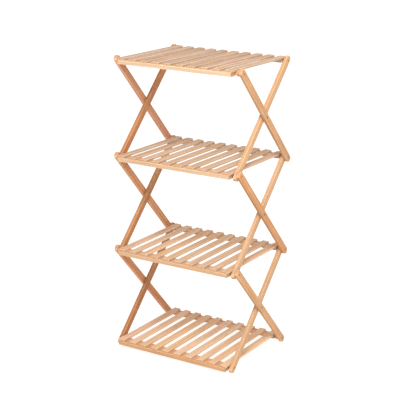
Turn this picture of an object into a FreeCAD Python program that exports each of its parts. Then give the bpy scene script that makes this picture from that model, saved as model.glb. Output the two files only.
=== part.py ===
import FreeCAD, Part
import math
import os
import Sketcher
from FreeCAD import Placement, Rotation, Vector

# Four-tier folding slatted rack on crossed legs.
# X runs along the rods, Y from front to rear, Z up.
# The origin is on the floor, under the middle of the rack.

doc = FreeCAD.newDocument("folding_rack")

# Driving dimensions in millimetres, angles in degrees
SIZES = {
    "frame_width": 429.0,      # over the outer faces of the outer legs
    "shelf_pitch": 290.0,      # rod to rod, from one shelf to the next
    "pivot_depth": 282.0,      # front rod to rear rod, rack open
    "leg_width": 21.0,
    "leg_thick": 10.5,
    "leg_end_reach": 16.0,     # leg end beyond its rod axis
    "leg_end_round": 9.0,      # corner radius at the leg ends
    "leg_edge_ease": 0.9,      # chamfer along the leg edges
    "leg_play": 0.4,           # gap between the outer and the inner leg
    "rod_dia": 8.0,
    "rod_play": 0.08,          # radial play of a rod in its bore
    "rod_end_gap": 0.2,        # rod end to the bottom of its bore
    "bore_depth": 7.5,         # blind rod bore in a leg
    "rail_gap": 4.5,           # rail end to the inner leg
    "rail_height": 12.0,
    "rail_top": 5.4,           # rail top above the rod axis
    "rail_round": 1.2,
    "front_rail_depth": 39.0,
    "front_rail_set": 30.0,    # front rod axis to the front face of the rail
    "rear_rail_depth": 21.0,
    "rear_rail_set": 12.0,     # rear rod axis to the rear face of the rail
    "hook_play": 0.15,         # radial play of the front rod in the hook groove
    "hook_slant": 40.0,        # rear flank of the hook groove, off vertical
    "slat_count": 10,
    "slat_gap": 1.4,           # outermost slat to the inner leg
    "slat_width": 22.0,
    "slat_thick": 6.2,
    "slat_round": 1.4,
    "slat_end_ease": 0.7,      # chamfer round the slat ends
    "spacer_dia": 16.0,
    "nail_dia": 2.4,
    "nail_length": 22.0,       # under the head
    "nail_head_dia": 4.4,
    "pin_dia": 4.0,
    "pin_head_dia": 5.0,
    "pin_hole_depth": 7.5,     # blind pin hole in an inner leg
    "head_thick": 0.5,
    "metal_play": 0.05,        # radial play of nails and pins in their holes
    "metal_end_gap": 0.5,      # nail or pin tip to the bottom of its hole
}
SHELVES = (1, 2, 3, 4)         # from the top shelf down
SIDES = (("right", 1), ("left", -1))
STAGES = ("top", "middle", "bottom")
SHORT_RODS = (("rear", 1), ("front", 4))   # these two end in the inner legs
TOUCH = 0.01                   # closer than this counts as the same place

sheet = doc.addObject("Spreadsheet::Sheet", "dims")
for row, (alias, size) in enumerate(SIZES.items(), start=1):
    sheet.set(f"A{row}", alias)
    sheet.set(f"B{row}", str(size))
    sheet.setAlias(f"B{row}", alias)
doc.recompute()

# Sizes that follow from the driving ones, as expressions on the sheet
SPAN = "sqrt(dims.shelf_pitch ^ 2 + dims.pivot_depth ^ 2)"
LEAN = "atan2(dims.shelf_pitch; dims.pivot_depth)"
LEG_HALF = f"({SPAN} / 2 + dims.leg_end_reach)"
OUTER_X = "(dims.frame_width / 2 - dims.leg_thick)"
INNER_X = f"({OUTER_X} - dims.leg_play - dims.leg_thick)"
FOOT_LONG = "(dims.leg_end_reach - dims.leg_end_round) * dims.shelf_pitch"
FOOT_WIDE = "(dims.leg_width / 2 - dims.leg_end_round) * dims.pivot_depth"
FOOT = f"(({FOOT_LONG} + {FOOT_WIDE}) / {SPAN} + dims.leg_end_round)"
TIP_LONG = "(dims.leg_end_reach - dims.leg_end_round) * dims.pivot_depth"
TIP_WIDE = "(dims.leg_width / 2 - dims.leg_end_round) * dims.shelf_pitch"
TIP = f"(({TIP_LONG} + {TIP_WIDE}) / {SPAN} + dims.leg_end_round)"
MIDDLE_Y = f"((dims.front_rail_set - {TIP}) / 2)"
ROD_BORE = "(dims.rod_dia + 2 * dims.rod_play)"
ROD_REACH = "(dims.bore_depth - dims.rod_end_gap)"
LONG_ROD = f"({OUTER_X} + {ROD_REACH})"
SHORT_ROD = f"({INNER_X} + {ROD_REACH})"
NAIL_HOLE = "(dims.nail_dia + 2 * dims.metal_play)"
NAIL_REACH = f"(dims.nail_length - dims.leg_thick + {ROD_REACH} + dims.metal_end_gap)"
PIN_HOLE = "(dims.pin_dia + 2 * dims.metal_play)"
PIN_LENGTH = "(dims.leg_thick + dims.leg_play + dims.pin_hole_depth - dims.metal_end_gap)"
RAIL_LENGTH = f"(2 * ({INNER_X} - dims.rail_gap))"
RAIL_BOTTOM = "(dims.rail_top - dims.rail_height)"
SLAT_LENGTH = "(dims.pivot_depth + dims.front_rail_set + dims.rear_rail_set)"
SLAT_Y = f"({MIDDLE_Y} + (dims.rear_rail_set - dims.front_rail_set) / 2)"
SLAT_ROW = f"(2 * ({INNER_X} - dims.slat_gap) - dims.slat_width)"
SLAT_PITCH = f"({SLAT_ROW} / (dims.slat_count - 1))"
EDGE_Y = {"front": f"({MIDDLE_Y} - dims.pivot_depth / 2)", "rear": f"({MIDDLE_Y} + dims.pivot_depth / 2)"}


def number(expression):
    """Present value of an expression on the sheet."""
    result = sheet.evalExpression(expression)
    return float(getattr(result, "Value", result))


def level(shelf):
    """Height of a shelf's rod axes."""
    return f"({FOOT} + {len(SHELVES) - shelf} * dims.shelf_pitch)"


def new_body(label):
    body = doc.addObject("PartDesign::Body", label)
    body.Label = label
    body.AllowCompound = True
    return body


def place(body, x="0", y="0", z="0", lean=None, axis=1):
    """Bind a body's place, and its lean about the X axis where it has one."""
    start = Vector(number(x), number(y), number(z))
    turn = Rotation(Vector(axis, 0, 0), number(lean) if lean else 0)
    body.Placement = Placement(start, turn)
    for name, expression in (("x", x), ("y", y), ("z", z)):
        body.setExpression(f"Placement.Base.{name}", expression)
    if lean:
        body.setExpression("Placement.Rotation.Angle", lean)


def sketch_on(body, role, name, offset=None):
    plane = next(item for item in body.Origin.OriginFeatures if item.Role == role)
    sketch = body.newObject("Sketcher::SketchObject", name)
    sketch.AttachmentSupport = [(plane, "")]
    sketch.MapMode = "FlatFace"
    if offset:
        sketch.setExpression("AttachmentOffset.Base.z", offset)
    return sketch


def bind(sketch, kind, *references, to):
    """Add a dimension to a sketch and bind it to an expression."""
    index = sketch.addConstraint(Sketcher.Constraint(kind, *references, number(to)))
    sketch.setExpression(f"Constraints[{index}]", to)


def set_ordinate(sketch, kind, geometry, point, to):
    """Hold one coordinate of a point, measured from the sketch origin."""
    value = number(to)
    if abs(value) < TOUCH:
        axis_line = -2 if kind == "DistanceX" else -1
        sketch.addConstraint(Sketcher.Constraint("PointOnObject", geometry, point, axis_line))
    elif value > 0:
        bind(sketch, kind, -1, 1, geometry, point, to=to)
    else:
        bind(sketch, kind, geometry, point, -1, 1, to=f"-({to})")


def add_circle(sketch, x, diameter):
    """Circle on the sketch's horizontal axis."""
    start = Part.Circle(Vector(number(x), 0, 0), Vector(0, 0, 1), number(diameter) / 2)
    circle = sketch.addGeometry(start)
    set_ordinate(sketch, "DistanceX", circle, 3, x)
    set_ordinate(sketch, "DistanceY", circle, 3, "0")
    bind(sketch, "Diameter", circle, to=diameter)


def add_outline(sketch, corners):
    """Closed polygon through corners given as pairs of expressions."""
    points = [Vector(number(x), number(y), 0) for x, y in corners]
    ends = points[1:] + points[:1]
    lines = [sketch.addGeometry(Part.LineSegment(a, b)) for a, b in zip(points, ends)]
    for line, following in zip(lines, lines[1:] + lines[:1]):
        sketch.addConstraint(Sketcher.Constraint("Coincident", line, 2, following, 1))
    for line, (x, y) in zip(lines, corners):
        set_ordinate(sketch, "DistanceX", line, 1, x)
        set_ordinate(sketch, "DistanceY", line, 1, y)


def add_rounded_rectangle(sketch, left, right, bottom, top, radius):
    """Rectangle between four expressions, with equal round corners."""
    x0, x1, y0, y1, r = (number(value) for value in (left, right, bottom, top, radius))
    sides = [
        Part.LineSegment(Vector(x0 + r, y0, 0), Vector(x1 - r, y0, 0)),
        Part.LineSegment(Vector(x1, y0 + r, 0), Vector(x1, y1 - r, 0)),
        Part.LineSegment(Vector(x1 - r, y1, 0), Vector(x0 + r, y1, 0)),
        Part.LineSegment(Vector(x0, y1 - r, 0), Vector(x0, y0 + r, 0)),
    ]
    quarter = math.pi / 2
    centres = ((x1 - r, y0 + r), (x1 - r, y1 - r), (x0 + r, y1 - r), (x0 + r, y0 + r))
    corners = []
    for turn, (x, y) in enumerate(centres):
        circle = Part.Circle(Vector(x, y, 0), Vector(0, 0, 1), r)
        corners.append(Part.ArcOfCircle(circle, (turn - 1) * quarter, turn * quarter))
    lines = [sketch.addGeometry(side) for side in sides]
    arcs = [sketch.addGeometry(corner) for corner in corners]
    for line, arc, following in zip(lines, arcs, lines[1:] + lines[:1]):
        sketch.addConstraint(Sketcher.Constraint("Tangent", line, 2, arc, 1))
        sketch.addConstraint(Sketcher.Constraint("Tangent", arc, 2, following, 1))
    for line, direction in zip(lines, ("Horizontal", "Vertical", "Horizontal", "Vertical")):
        sketch.addConstraint(Sketcher.Constraint(direction, line))
    for arc in arcs[1:]:
        sketch.addConstraint(Sketcher.Constraint("Equal", arcs[0], arc))
    bind(sketch, "Radius", arcs[0], to=radius)
    set_ordinate(sketch, "DistanceY", lines[0], 1, bottom)
    set_ordinate(sketch, "DistanceX", lines[1], 1, right)
    set_ordinate(sketch, "DistanceY", lines[2], 1, top)
    set_ordinate(sketch, "DistanceX", lines[3], 1, left)


def pad(body, sketch, length, both_ways=False, backwards=False):
    feature = body.newObject("PartDesign::Pad", f"{body.Name}_pad")
    feature.Profile = sketch
    feature.setExpression("Length", length)
    feature.SideType = "Symmetric" if both_ways else "One side"
    feature.Reversed = backwards
    sketch.Visibility = False
    doc.recompute()
    return feature


def revolve(body, sketch):
    """Turn a profile about the sketch's horizontal axis."""
    feature = body.newObject("PartDesign::Revolution", f"{body.Name}_turned")
    feature.Profile = sketch
    feature.ReferenceAxis = (sketch, ["H_Axis"])
    feature.Angle = 360
    doc.recompute()
    return feature


def pocket(body, sketch, depth, backwards):
    """Cut a sketch into a body, and stop if nothing came away."""
    before = body.Shape.Volume
    feature = body.newObject("PartDesign::Pocket", f"{body.Name}_cut")
    feature.Profile = sketch
    feature.setExpression("Length", depth)
    feature.Reversed = backwards
    doc.recompute()
    if body.Shape.Volume >= before:
        raise RuntimeError(f"{body.Label}: {sketch.Label} cut nothing")


def dress(body, kind, size_name, size, wanted):
    """Round or chamfer every edge of the tip that the test picks."""
    base = body.Tip
    names = [f"Edge{i}" for i, edge in enumerate(base.Shape.Edges, start=1) if wanted(edge)]
    feature = body.newObject(f"PartDesign::{kind}", f"{body.Name}_{kind.lower()}")
    feature.Base = (base, names)
    feature.setExpression(size_name, size)
    doc.recompute()


def mirror_across(body, feature):
    """Repeat a feature on the other side of the rack."""
    mirror = body.newObject("PartDesign::Mirrored", f"{body.Name}_mirror")
    mirror.Originals = [feature]
    plane = next(item for item in body.Origin.OriginFeatures if item.Role == "YZ_Plane")
    mirror.MirrorPlane = (plane, [""])
    body.Tip = mirror
    doc.recompute()


def make_leg(label, side, inner_face, stage, kind, bores):
    """Flat leg with round ends, lying along its body's Y axis before it leans.

    Its inner face is on the body's YZ plane. bores gives the depth of the front and the rear rod bore.
    """
    body = new_body(label)
    left_side = side < 0
    shape = sketch_on(body, "YZ_Plane", f"{label}_outline")
    half_width = "(dims.leg_width / 2)"
    add_rounded_rectangle(shape, f"-{LEG_HALF}", LEG_HALF, f"-{half_width}", half_width,
                          "dims.leg_end_round")
    pad(body, shape, "dims.leg_thick", backwards=left_side)

    dress(body, "Chamfer", "Size", "dims.leg_edge_ease",
          lambda edge: edge.BoundBox.XLength < TOUCH)

    for end, depth in zip((f"(-{SPAN} / 2)", f"({SPAN} / 2)"), bores):
        bore = sketch_on(body, "YZ_Plane", f"{label}_bore")
        add_circle(bore, end, ROD_BORE)
        pocket(body, bore, depth, backwards=not left_side)
        if depth != "dims.leg_thick":
            nail = sketch_on(body, "YZ_Plane", f"{label}_nail_hole")
            add_circle(nail, end, NAIL_HOLE)
            pocket(body, nail, "dims.leg_thick", backwards=not left_side)

    outer_face = f"{side} * dims.leg_thick"
    pin_depth = "dims.leg_thick" if kind == "outer" else "dims.pin_hole_depth"
    pin = sketch_on(body, "YZ_Plane", f"{label}_pin_hole", offset=outer_face)
    add_circle(pin, "0", PIN_HOLE)
    pocket(body, pin, pin_depth, backwards=left_side)

    middle = f"({level(stage)} - dims.shelf_pitch / 2)"
    place(body, x=f"{side} * {inner_face}", y=MIDDLE_Y, z=middle, lean=LEAN,
          axis=-1 if kind == "outer" else 1)
    return body


def make_rod(label, edge, shelf, half_length):
    """Round rod with a nail hole in each end, lying along X."""
    body = new_body(label)
    profile = sketch_on(body, "XY_Plane", f"{label}_profile")
    hole_floor = f"({half_length} - {NAIL_REACH})"
    radius = "(dims.rod_dia / 2)"
    hole_radius = f"({NAIL_HOLE} / 2)"
    add_outline(profile, [
        (f"-{hole_floor}", "0"), (hole_floor, "0"),
        (hole_floor, hole_radius), (half_length, hole_radius),
        (half_length, radius), (f"-{half_length}", radius),
        (f"-{half_length}", hole_radius), (f"-{hole_floor}", hole_radius),
    ])
    revolve(body, profile)
    place(body, y=EDGE_Y[edge], z=level(shelf))
    return body


def make_headed(label, head_face, length, shank_dia, head_dia, y, z):
    """A pair of nails or pins with low heads, one on each side of the rack."""
    body = new_body(label)
    profile = sketch_on(body, "XY_Plane", f"{label}_profile")
    tip = f"({head_face} - {length})"
    crown = f"({head_face} + dims.head_thick)"
    add_outline(profile, [
        (tip, "0"), (crown, "0"),
        (crown, f"({head_dia} / 2 - dims.head_thick)"), (head_face, f"({head_dia} / 2)"),
        (head_face, f"({shank_dia} / 2)"), (tip, f"({shank_dia} / 2)"),
    ])
    mirror_across(body, revolve(body, profile))
    place(body, y=y, z=z)
    return body


def make_rear_rail(shelf):
    """Flat rail with eased edges, bored along its length for the rear rod."""
    label = f"rear_rail_{shelf}"
    body = new_body(label)
    section = sketch_on(body, "YZ_Plane", f"{label}_section")
    add_rounded_rectangle(section, "(dims.rear_rail_set - dims.rear_rail_depth)", "dims.rear_rail_set",
                          RAIL_BOTTOM, "dims.rail_top", "dims.rail_round")
    add_circle(section, "0", ROD_BORE)
    pad(body, section, RAIL_LENGTH, both_ways=True)
    place(body, y=EDGE_Y["rear"], z=level(shelf))
    return body


def make_front_rail(shelf):
    """Wide flat rail with a hook groove that drops over the front rod.

    The groove's front wall is upright and holds the depth of the open rack.
    Its rear flank slants back, along the way the rod leaves as the shelf lifts.
    """
    label = f"front_rail_{shelf}"
    body = new_body(label)
    section = sketch_on(body, "YZ_Plane", f"{label}_section")
    groove = "(dims.rod_dia / 2 + dims.hook_play)"
    front = "(-dims.front_rail_set)"
    back = "(dims.front_rail_depth - dims.front_rail_set)"
    flank_top_y = f"({groove} * cos(dims.hook_slant * 1 deg))"
    flank_top_z = f"({groove} * sin(dims.hook_slant * 1 deg))"
    flank_drop = f"(({back} - {flank_top_y}) / tan(dims.hook_slant * 1 deg))"
    corners = [
        (flank_top_y, flank_top_z), (back, f"({flank_top_z} - {flank_drop})"),
        (back, "dims.rail_top"), (front, "dims.rail_top"),
        (front, RAIL_BOTTOM), (f"-{groove}", RAIL_BOTTOM), (f"-{groove}", "0"),
    ]
    points = [Vector(number(y), number(z), 0) for y, z in corners]
    lines = [section.addGeometry(Part.LineSegment(a, b)) for a, b in zip(points, points[1:])]
    crown = Vector(0, number(groove), 0)
    arc = section.addGeometry(Part.Arc(points[0], crown, points[-1]))
    for line, following in zip(lines, lines[1:]):
        section.addConstraint(Sketcher.Constraint("Coincident", line, 2, following, 1))
    section.addConstraint(Sketcher.Constraint("Coincident", lines[-1], 2, arc, 2))
    section.addConstraint(Sketcher.Constraint("Coincident", arc, 1, lines[0], 1))
    section.addConstraint(Sketcher.Constraint("Coincident", arc, 3, -1, 1))
    for line, (y, z) in zip(lines[1:], corners[1:]):
        set_ordinate(section, "DistanceX", line, 1, y)
        set_ordinate(section, "DistanceY", line, 1, z)
    set_ordinate(section, "DistanceX", lines[-1], 2, f"-{groove}")
    set_ordinate(section, "DistanceY", lines[-1], 2, "0")
    set_ordinate(section, "DistanceY", lines[0], 1, flank_top_z)
    pad(body, section, RAIL_LENGTH, both_ways=True)

    outer, top, low = number(front), number("dims.rail_top"), number(RAIL_BOTTOM)
    rounded = ((number(back), top), (outer, top), (outer, low))

    def is_outer_edge(edge):
        spot = edge.CenterOfMass
        along_rail = edge.BoundBox.XLength > TOUCH
        return along_rail and any(abs(spot.y - y) + abs(spot.z - z) < TOUCH for y, z in rounded)

    dress(body, "Fillet", "Radius", "dims.rail_round", is_outer_edge)
    place(body, y=EDGE_Y["front"], z=level(shelf))
    return body


def make_slats(shelf):
    """Row of flat slats from the front rail to the rear rail."""
    label = f"slats_{shelf}"
    body = new_body(label)
    section = sketch_on(body, "XZ_Plane", f"{label}_section")
    first = f"(-{SLAT_ROW} / 2)"
    add_rounded_rectangle(section, f"({first} - dims.slat_width / 2)", f"({first} + dims.slat_width / 2)",
                          "dims.rail_top", "(dims.rail_top + dims.slat_thick)", "dims.slat_round")
    slat = pad(body, section, SLAT_LENGTH, both_ways=True)
    row_of_slats = body.newObject("PartDesign::LinearPattern", f"{label}_row")
    row_of_slats.Originals = [slat]
    row_of_slats.Direction = (section, ["H_Axis"])
    row_of_slats.Mode = "Spacing"
    row_of_slats.setExpression("Offset", SLAT_PITCH)
    row_of_slats.setExpression("Occurrences", "dims.slat_count")
    body.Tip = row_of_slats
    doc.recompute()
    dress(body, "Chamfer", "Size", "dims.slat_end_ease", lambda edge: edge.BoundBox.YLength < TOUCH)
    place(body, y=SLAT_Y, z=level(shelf))
    return body


def make_spacer(label, side, edge, shelf):
    """Round bush on a rod, in the plane of the inner legs."""
    body = new_body(label)
    ring = sketch_on(body, "YZ_Plane", f"{label}_ring")
    add_circle(ring, "0", "dims.spacer_dia")
    add_circle(ring, "0", ROD_BORE)
    pad(body, ring, "dims.leg_thick", backwards=side < 0)
    place(body, x=f"{side} * {INNER_X}", y=EDGE_Y[edge], z=level(shelf))
    return body


parts = []

# Legs: an outer and an inner one on each side of every stage
for stage, stage_name in enumerate(STAGES, start=1):
    last = stage == len(STAGES)
    for side_name, side in SIDES:
        blind, through = "dims.bore_depth", "dims.leg_thick"
        parts.append(make_leg(f"outer_leg_{stage_name}_{side_name}", side, OUTER_X, stage, "outer",
                              (blind, blind)))
        inner_bores = (blind if last else through, blind if stage == 1 else through)
        parts.append(make_leg(f"inner_leg_{stage_name}_{side_name}", side, INNER_X, stage, "inner",
                              inner_bores))

# Rods and the nails in their ends
for shelf in SHELVES:
    for edge in ("front", "rear"):
        short = (edge, shelf) in SHORT_RODS
        rod_half = SHORT_ROD if short else LONG_ROD
        leg_face = f"({INNER_X if short else OUTER_X} + dims.leg_thick)"
        parts.append(make_rod(f"{edge}_rod_{shelf}", edge, shelf, rod_half))
        parts.append(make_headed(f"nails_{edge}_rod_{shelf}", leg_face, "dims.nail_length",
                                 "dims.nail_dia", "dims.nail_head_dia", EDGE_Y[edge], level(shelf)))

# Pins through the crossings
for stage in range(1, len(STAGES) + 1):
    crossing = f"({level(stage)} - dims.shelf_pitch / 2)"
    parts.append(make_headed(f"cross_pins_{stage}", "(dims.frame_width / 2)", PIN_LENGTH,
                             "dims.pin_dia", "dims.pin_head_dia", MIDDLE_Y, crossing))

# Shelves
for shelf in SHELVES:
    parts.append(make_front_rail(shelf))
    parts.append(make_rear_rail(shelf))
    parts.append(make_slats(shelf))

# Spacers at the top front and the bottom rear rod, where no inner leg runs
for side_name, side in SIDES:
    parts.append(make_spacer(f"spacer_front_{side_name}", side, "front", SHELVES[0]))
    parts.append(make_spacer(f"spacer_rear_{side_name}", side, "rear", SHELVES[-1]))

doc.recompute()

# Nothing is written unless every object recomputed and every shape is sound
for item in doc.Objects:
    if "Invalid" in item.State or "Error" in item.State:
        raise RuntimeError(f"{item.Label} failed: {item.State}")
for body in parts:
    if body.Shape.isNull() or not body.Shape.isValid():
        raise RuntimeError(f"{body.Label} has no sound shape")

os.makedirs("parts", exist_ok=True)
for body in parts:
    body.Shape.exportStep(f"parts/{body.Label}.step")
    print(body.Label, len(body.Shape.Solids), round(body.Shape.Volume, 1))
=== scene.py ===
import math

import bmesh
import bpy
from mathutils import Matrix, Vector


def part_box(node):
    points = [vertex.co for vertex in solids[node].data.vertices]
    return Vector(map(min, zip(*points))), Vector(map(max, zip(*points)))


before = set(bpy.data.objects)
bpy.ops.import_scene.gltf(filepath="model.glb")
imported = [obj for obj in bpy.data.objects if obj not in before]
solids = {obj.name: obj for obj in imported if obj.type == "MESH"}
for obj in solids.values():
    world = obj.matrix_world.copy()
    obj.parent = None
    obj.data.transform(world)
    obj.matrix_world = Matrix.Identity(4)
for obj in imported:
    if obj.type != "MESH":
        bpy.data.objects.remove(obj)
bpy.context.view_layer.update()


# Legs. Twelve flat bars of pressed bamboo, each glued up from three strips laid edge to edge, rounded
# at the ends, eased along the edges and varnished satin. The outer ones run from the front down to the
# rear, the inner ones the other way. The legs on each side have their own tones, which paint in the
# light and shade that fall on that side of the rack.
SHELF_PITCH = 0.290
PIVOT_DEPTH = 0.282
LEG_WIDTH = 0.021
LEG_STRIPS = 3
LEG_LEAN = math.atan2(SHELF_PITCH, PIVOT_DEPTH)


class Finish:
    """A procedural finish, with short calls for the nodes it is built from."""

    def __init__(self, name):
        self.material = bpy.data.materials.new(name)
        self.material.use_nodes = True
        self.nodes = self.material.node_tree.nodes
        self.links = self.material.node_tree.links
        self.shader = self.nodes["Principled BSDF"]
        self.place = self.nodes.new("ShaderNodeTexCoord")

    def put(self, socket, value):
        if isinstance(value, bpy.types.NodeSocket):
            self.links.new(value, socket)
        else:
            socket.default_value = value

    def add(self, kind, values, **settings):
        node = self.nodes.new(kind)
        for name, setting in settings.items():
            setattr(node, name, setting)
        for name, value in values.items():
            self.put(node.inputs[name], value)
        return node

    def math(self, operation, *values):
        node = self.add("ShaderNodeMath", {}, operation=operation)
        for socket, value in zip(node.inputs, values):
            self.put(socket, value)
        return node.outputs[0]

    def split(self, vector):
        return self.add("ShaderNodeSeparateXYZ", {"Vector": vector}).outputs

    def join(self, x, y, z):
        return self.add("ShaderNodeCombineXYZ", {"X": x, "Y": y, "Z": z}).outputs[0]

    def turned(self, vector, kind, angle):
        """A vector turned about the X axis."""
        values = {"Vector": vector, "Rotation": (angle, 0, 0)}
        return self.add("ShaderNodeMapping", values, vector_type=kind).outputs[0]

    def grain(self, along, across, deep, length, width, detail=3):
        """Noise drawn out along the grain, in patches of about this length and width."""
        vector = self.join(self.math("DIVIDE", along, length), self.math("DIVIDE", across, width),
                           self.math("DIVIDE", deep, width))
        values = {"Vector": vector, "Scale": 1.0, "Detail": detail, "Roughness": 0.55}
        return self.add("ShaderNodeTexNoise", values).outputs["Fac"]

    def chance(self, x, y, z):
        """Three random numbers that belong to one piece or strip."""
        noise = self.add("ShaderNodeTexWhiteNoise", {"Vector": self.join(x, y, z)})
        return self.split(noise.outputs["Color"])

    def grade(self, value, start, stop, low=0.0, high=1.0):
        values = {"Value": value, "From Min": start, "From Max": stop, "To Min": low, "To Max": high}
        return self.add("ShaderNodeMapRange", values, interpolation_type="SMOOTHSTEP").outputs["Result"]

    def blend(self, share, first, second, how="MIX"):
        node = self.add("ShaderNodeMix", {}, data_type="RGBA", blend_type=how)
        for socket, value in zip((node.inputs[0], node.inputs[6], node.inputs[7]), (share, first, second)):
            self.put(socket, value)
        return node.outputs[2]

    def tint(self, colour, hue, saturation, value):
        values = {"Hue": hue, "Saturation": saturation, "Value": value, "Color": colour}
        return self.add("ShaderNodeHueSaturation", values).outputs[0]


def paint(red, green, blue):
    """A colour as a paint card gives it, 0 to 255, turned into light."""
    return tuple((c / 255 / 12.92) if c < 11 else ((c / 255 + 0.055) / 1.055) ** 2.4
                 for c in (red, green, blue)) + (1.0,)


def bamboo(finish, along, across, deep, facing, piece, strip, light, dark):
    """Varnished bamboo: glued strips, long fibres, fine dashes, and a knuckle across every strip.

    along, across and deep are places on the piece in metres, and facing is the surface's direction
    in the same three. piece is three random numbers, and strip is the width of one strip. light and
    dark are the tones of the wood between its fibres.
    """
    lengthwise, sideways, depthwise = (finish.math("ABSOLUTE", part) for part in facing)
    inside_edge = 0.0001
    inside = finish.math("ADD", across, inside_edge)
    strip_number = finish.math("FLOOR", finish.math("DIVIDE", inside, strip))
    luck = finish.chance(strip_number, finish.math("MULTIPLY", piece[0], 37.0),
                         finish.math("MULTIPLY", piece[1], 53.0))
    shifted = finish.math("ADD", along, finish.math("MULTIPLY", luck[0], 5.0))

    bands = finish.grain(shifted, across, deep, length=0.16, width=0.005)
    fibres = finish.grain(shifted, across, deep, length=0.045, width=0.0006, detail=4)
    dashes = finish.grade(finish.grain(shifted, across, deep, length=0.008, width=0.0005, detail=2),
                          0.62, 0.76)
    wander = finish.math("MULTIPLY", finish.grain(along, across, deep, length=0.02, width=0.004), 0.0035)
    knuckle_spacing = 0.23
    knuckle = finish.math("PINGPONG", finish.math("ADD", shifted, wander), knuckle_spacing / 2)
    knuckle_line = finish.grade(knuckle, 0.0003, 0.0014, 1.0, 0.0)
    knuckle_glow = finish.grade(knuckle, 0.0, 0.016, 1.0, 0.0)
    seam = finish.grade(finish.math("PINGPONG", across, strip / 2), 0.0, 0.00035, 1.0, 0.0)
    seam = finish.math("MULTIPLY", seam, finish.grade(sideways, 0.1, 0.6, 1.0, 0.0))

    colour = finish.blend(finish.grade(bands, 0.28, 0.72), light, dark)
    colour = finish.blend(finish.grade(fibres, 0.25, 0.75, 0.0, 0.2), colour, paint(156, 102, 62))
    colour = finish.blend(finish.math("MULTIPLY", dashes, 0.16), colour, paint(112, 68, 38))
    colour = finish.blend(finish.math("MULTIPLY", knuckle_glow, 0.2), colour, paint(226, 188, 140))
    colour = finish.blend(finish.math("MULTIPLY", knuckle_line, 0.5), colour, paint(108, 66, 38))
    colour = finish.blend(finish.math("MULTIPLY", seam, 0.25), colour, paint(120, 76, 44))
    hue = finish.math("ADD", finish.grade(luck[1], 0, 1, -0.002, 0.002),
                      finish.grade(piece[0], 0, 1, 0.498, 0.503))
    saturation = finish.math("ADD", finish.grade(luck[2], 0, 1, -0.04, 0.04),
                             finish.grade(piece[1], 0, 1, 0.94, 1.06))
    value = finish.math("ADD", finish.grade(luck[0], 0, 1, -0.04, 0.04),
                        finish.grade(piece[2], 0, 1, 0.95, 1.05))
    colour = finish.tint(colour, hue, saturation, value)

    eased = finish.math("MULTIPLY", sideways, depthwise)
    eased = finish.math("MULTIPLY_ADD", lengthwise, finish.math("ADD", sideways, depthwise), eased)
    patches = finish.grain(along, across, deep, length=0.03, width=0.006)
    # The eased edges are lightened: partly rubbed wear, partly a painted highlight along them.
    rubbed_and_highlit = finish.math("MULTIPLY", finish.grade(eased, 0.05, 0.35),
                         finish.grade(patches, 0.3, 0.6, 0.4, 1.0))
    colour = finish.blend(finish.math("MULTIPLY", rubbed_and_highlit, 0.5), colour, paint(228, 188, 144))

    pores = finish.grain(deep, across, deep, length=0.0009, width=0.0009, detail=2)
    end_colour = finish.blend(finish.grade(pores, 0.4, 0.65), paint(185, 147, 116), paint(167, 127, 95))
    end_colour = finish.blend(finish.grade(pores, 0.55, 0.7, 0.0, 0.4), end_colour, paint(112, 68, 38))
    colour = finish.blend(finish.grade(lengthwise, 0.75, 0.95), colour, end_colour)

    finish.put(finish.shader.inputs["Base Color"], colour)
    rough = finish.math("MULTIPLY_ADD", dashes, 0.08, finish.grade(fibres, 0.3, 0.7, 0.44, 0.54))
    rough = finish.math("MULTIPLY_ADD", rubbed_and_highlit, 0.12, rough)
    finish.put(finish.shader.inputs["Roughness"], rough)
    finish.shader.inputs["Specular IOR Level"].default_value = 0.06
    finish.shader.inputs["Coat Weight"].default_value = 0.02
    finish.shader.inputs["Coat Roughness"].default_value = 0.3

    height = finish.math("MULTIPLY", fibres, 0.3)
    height = finish.math("MULTIPLY_ADD", bands, 0.25, height)
    height = finish.math("MULTIPLY_ADD", seam, -0.5, height)
    height = finish.math("MULTIPLY_ADD", knuckle_line, 0.6, height)
    bump = finish.add("ShaderNodeBump", {"Height": height, "Strength": 0.3, "Distance": 0.0002})
    finish.put(finish.shader.inputs["Normal"], bump.outputs[0])


def dress(node, finish):
    """Put one finish in every slot of a solid."""
    mesh = solids[node].data
    mesh.materials.clear()
    mesh.materials.append(finish.material)


def middle(node):
    lowest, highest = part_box(node)
    return (lowest + highest) / 2


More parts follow.
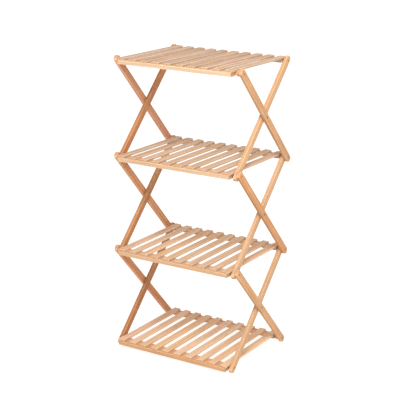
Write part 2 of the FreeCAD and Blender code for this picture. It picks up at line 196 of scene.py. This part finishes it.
# Each side's tones paint in the light and shade on that side, with painted shade under the shelves on the
# left.
leg_tones_lit_and_shaded = {"outer": {"right": (paint(198, 151, 112), paint(175, 130, 91)),
                       "left": (paint(213, 157, 123), paint(190, 134, 100))},
             "inner": {"right": (paint(201, 163, 132), paint(181, 143, 109)),
                       "left": (paint(181, 125, 84), paint(163, 108, 70))}}
for kind, turn in (("outer", LEG_LEAN), ("inner", -LEG_LEAN)):
    finish = Finish(f"{kind}_leg_bamboo")
    x, along, across = finish.split(finish.turned(finish.place.outputs["Object"], "POINT", turn))
    facing_x, facing_along, facing_across = finish.split(
        finish.turned(finish.place.outputs["Normal"], "VECTOR", turn))
    lowest_axis = (Matrix.Rotation(turn, 3, "X") @ middle("cross_pins_3")).z
    stage_step = SHELF_PITCH * math.cos(LEG_LEAN)
    across = finish.math("SUBTRACT", across, lowest_axis)
    stage = finish.math("ROUND", finish.math("DIVIDE", across, stage_step))
    across = finish.math("SUBTRACT", across, finish.math("MULTIPLY", stage, stage_step))
    across = finish.math("ADD", across, LEG_WIDTH / 2)
    piece = finish.chance(finish.math("SIGN", x), stage, 1.0 if kind == "outer" else 2.0)
    # Picks the right side's painted light or the left side's painted shade.
    on_right = finish.math("GREATER_THAN", x, 0.0)
    light, dark = (finish.blend(on_right, left_tone, right_tone)
                   for left_tone, right_tone in zip(leg_tones_lit_and_shaded[kind]["left"], leg_tones_lit_and_shaded[kind]["right"]))
    bamboo(finish, along, across, x, (facing_along, facing_across, facing_x), piece, LEG_WIDTH / LEG_STRIPS,
           light, dark)
    for stage_name in ("top", "middle", "bottom"):
        for side in ("left", "right"):
            dress(f"{kind}_leg_{stage_name}_{side}", finish)


# Rods and spacers. Turned bamboo dowels join the two sides at the front and the rear of every shelf.
# A short round bush fills the place of the missing inner leg at the top front and the bottom rear.
ROD_SIZE = 0.008
finish = Finish("rod_bamboo")
x, y, z = finish.split(finish.place.outputs["Object"])
normal = finish.split(finish.place.outputs["Normal"])
lowest_rod = middle("front_rod_4").z
shelf = finish.math("ROUND", finish.math("DIVIDE", finish.math("SUBTRACT", z, lowest_rod), SHELF_PITCH))
piece = finish.chance(finish.math("SIGN", y), shelf, 3.0)
bamboo(finish, x, y, z, (normal[0], 0.0, 0.0), piece, ROD_SIZE, paint(204, 154, 112), paint(184, 134, 94))
for edge in ("front", "rear"):
    for number in (1, 2, 3, 4):
        dress(f"{edge}_rod_{number}", finish)
    for side in ("left", "right"):
        dress(f"spacer_{edge}_{side}", finish)


# Rails. Flat bars under the slat ends, glued up from three layers with eased edges.
# The rear rail is bored for its rod, and the wide front rail has a groove that drops over its rod.
# The higher ones are painted paler, as painted light that grows toward the top shelf.
RAIL_HEIGHT = 0.012
RAIL_LAYERS = 3
TOP_SHELF = 3.0
finish = Finish("rail_bamboo")
x, y, z = finish.split(finish.place.outputs["Object"])
normal = finish.split(finish.place.outputs["Normal"])
above = finish.math("SUBTRACT", z, lowest_rod)
shelf = finish.math("ROUND", finish.math("DIVIDE", above, SHELF_PITCH))
above = finish.math("SUBTRACT", above, finish.math("MULTIPLY", shelf, SHELF_PITCH))
above = finish.math("ADD", above, lowest_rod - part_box("front_rail_4")[0].z)
piece = finish.chance(finish.math("SIGN", y), shelf, 5.0)
# Painted light: the rail tones grow paler toward the top shelf.
painted_light_share = finish.math("DIVIDE", shelf, TOP_SHELF)
light = finish.blend(painted_light_share, paint(200, 159, 127), paint(202, 177, 147))
dark = finish.blend(painted_light_share, paint(182, 141, 108), paint(185, 156, 126))
bamboo(finish, x, above, y, (normal[0], normal[2], normal[1]), piece, RAIL_HEIGHT / RAIL_LAYERS,
       light, dark)
for number in (1, 2, 3, 4):
    dress(f"front_rail_{number}", finish)
    dress(f"rear_rail_{number}", finish)


# Slats. Ten thin boards to a shelf, each glued up from two strips of bamboo, with rounded long edges.
# They lie across the two rails from front to rear. The top shelf's tones are greyer, a painted
# reflection of the pale room, and the lower shelves keep the warm colour of the wood.
SLAT_PITCH = 0.0401556
SLAT_WIDTH = 0.022
SLAT_STRIPS = 2
finish = Finish("slat_bamboo")
x, y, z = finish.split(finish.place.outputs["Object"])
normal = finish.split(finish.place.outputs["Normal"])
shelf = finish.math("ROUND", finish.math("DIVIDE", finish.math("SUBTRACT", z, lowest_rod), SHELF_PITCH))
number = finish.math("FLOOR", finish.math("DIVIDE", x, SLAT_PITCH))
across = finish.math("SUBTRACT", x, finish.math("MULTIPLY", number, SLAT_PITCH))
across = finish.math("SUBTRACT", across, (SLAT_PITCH - SLAT_WIDTH) / 2)
piece = finish.chance(number, shelf, 7.0)
# Painted reflection: the slat tones grow greyer toward the top shelf.
painted_light_share = finish.math("DIVIDE", shelf, TOP_SHELF)
light = finish.blend(painted_light_share, paint(222, 188, 156), paint(187, 163, 143))
dark = finish.blend(painted_light_share, paint(200, 163, 131), paint(169, 141, 119))
bamboo(finish, y, across, z, (normal[1], normal[0], normal[2]), piece, SLAT_WIDTH / SLAT_STRIPS,
       light, dark)
for number in (1, 2, 3, 4):
    dress(f"slats_{number}", finish)


# Nails and pins. Steel nails go through the legs into the rod ends, and a pin holds each crossing.
# Their low heads have darkened, and show as brown dots on the legs.
finish = Finish("darkened_steel")
grime = finish.add("ShaderNodeTexNoise",
                   {"Vector": finish.place.outputs["Object"], "Scale": 900.0, "Detail": 4.0})
stain = finish.blend(finish.grade(grime.outputs["Fac"], 0.35, 0.65), paint(84, 54, 34), paint(48, 32, 22))
finish.put(finish.shader.inputs["Base Color"], stain)
finish.put(finish.shader.inputs["Roughness"], finish.grade(grime.outputs["Fac"], 0.3, 0.7, 0.35, 0.6))
finish.shader.inputs["Metallic"].default_value = 0.4
dents = finish.add("ShaderNodeBump", {"Height": grime.outputs["Fac"], "Strength": 0.3, "Distance": 0.0001})
finish.put(finish.shader.inputs["Normal"], dents.outputs[0])
for number in (1, 2, 3, 4):
    dress(f"nails_front_rod_{number}", finish)
    dress(f"nails_rear_rod_{number}", finish)
for number in (1, 2, 3):
    dress(f"cross_pins_{number}", finish)


# Floor. A wide sheet of white acrylic that runs out of the picture on every side.
# It is lit from below, so that the rack throws next to no shadow on it.
FLOOR_REACH = 60.0
floor_shape = bmesh.new()
bmesh.ops.create_grid(floor_shape, x_segments=1, y_segments=1, size=FLOOR_REACH)
floor_mesh = bpy.data.meshes.new("studio_floor")
floor_shape.to_mesh(floor_mesh)
floor_shape.free()
floor = bpy.data.objects.new("studio_floor", floor_mesh)
bpy.context.scene.collection.objects.link(floor)
acrylic = Finish("white_acrylic")
mottle = acrylic.add("ShaderNodeTexNoise", {"Vector": acrylic.place.outputs["Object"], "Scale": 3.0})
acrylic.put(acrylic.shader.inputs["Base Color"],
            acrylic.blend(mottle.outputs["Fac"], paint(160, 160, 160), paint(164, 164, 164)))
acrylic.shader.inputs["Emission Color"].default_value = (1.0, 1.0, 1.0, 1.0)
acrylic.shader.inputs["Emission Strength"].default_value = 0.80
acrylic.shader.inputs["Roughness"].default_value = 0.9
floor_mesh.materials.append(acrylic.material)


# Light. A soft box stands in front of the rack, to the right, and the room is bright overhead.
# The foot of its pale walls picks up the glow of the floor.
LIGHT_PLACE = Vector((1.30, -1.80, 2.40))
LIGHT_AIM = Vector((0.0, 0.0, 0.55))
WALL_LIGHT = 0.25
WALL_FOOT_GLOW = 0.7
WALL_FOOT_TOP = 0.25
OVERHEAD_LIGHT = 1.1
scene = bpy.context.scene
scene.view_settings.view_transform = "Standard"
room = bpy.data.worlds.new("studio_room")
room.use_nodes = True
room_nodes = room.node_tree.nodes
room_links = room.node_tree.links
direction = room_nodes.new("ShaderNodeTexCoord")
parts = room_nodes.new("ShaderNodeSeparateXYZ")
room_links.new(direction.outputs["Generated"], parts.inputs["Vector"])
brightness = room_nodes.new("ShaderNodeMath")
for socket, top, low, high in ((brightness.inputs[0], 1.0, WALL_LIGHT, OVERHEAD_LIGHT),
                               (brightness.inputs[1], WALL_FOOT_TOP, WALL_FOOT_GLOW, 0.0)):
    rise = room_nodes.new("ShaderNodeMapRange")
    rise.inputs["From Max"].default_value = top
    rise.inputs["To Min"].default_value = low
    rise.inputs["To Max"].default_value = high
    room_links.new(parts.outputs["Z"], rise.inputs["Value"])
    room_links.new(rise.outputs["Result"], socket)
backdrop = room_nodes["Background"]
backdrop.inputs["Color"].default_value = (1.0, 1.0, 1.0, 1.0)
room_links.new(brightness.outputs[0], backdrop.inputs["Strength"])
scene.world = room
soft_box = bpy.data.lights.new("soft_box", "AREA")
soft_box.size = 1.4
soft_box.energy = 95.0
soft_box_lamp = bpy.data.objects.new("soft_box", soft_box)
soft_box_lamp.location = LIGHT_PLACE
soft_box_lamp.rotation_mode = "QUATERNION"
soft_box_lamp.rotation_quaternion = (LIGHT_AIM - LIGHT_PLACE).to_track_quat("-Z", "Y")
scene.collection.objects.link(soft_box_lamp)


# Camera. A long lens, about three and a half metres from the rack. It stands to the right of the front,
# higher than the top shelf, and looks down a little.
YAW = math.radians(-31.299)
PITCH = math.radians(14.745)
ROLL = math.radians(0.796)
PICTURE_WIDTH = 400
FOCAL_PIXELS = 1165.76
CAMERA_PLACE = Vector((1.75461, -2.89259, 1.41509))
ahead = Vector((math.sin(YAW) * math.cos(PITCH), math.cos(YAW) * math.cos(PITCH), -math.sin(PITCH)))
level_right = ahead.cross(Vector((0, 0, 1))).normalized()
level_up = level_right.cross(ahead)
right = math.cos(ROLL) * level_right + math.sin(ROLL) * level_up
up = math.cos(ROLL) * level_up - math.sin(ROLL) * level_right
lens = bpy.data.cameras.new("camera")
lens.sensor_width = 36.0
lens.lens = FOCAL_PIXELS / PICTURE_WIDTH * lens.sensor_width
lens.shift_y = -0.05
lens.clip_end = 500.0
camera = bpy.data.objects.new("camera", lens)
turned_to = Matrix((right, up, -ahead)).transposed().to_4x4()
camera.matrix_world = Matrix.Translation(CAMERA_PLACE) @ turned_to
scene.collection.objects.link(camera)
scene.camera = camera
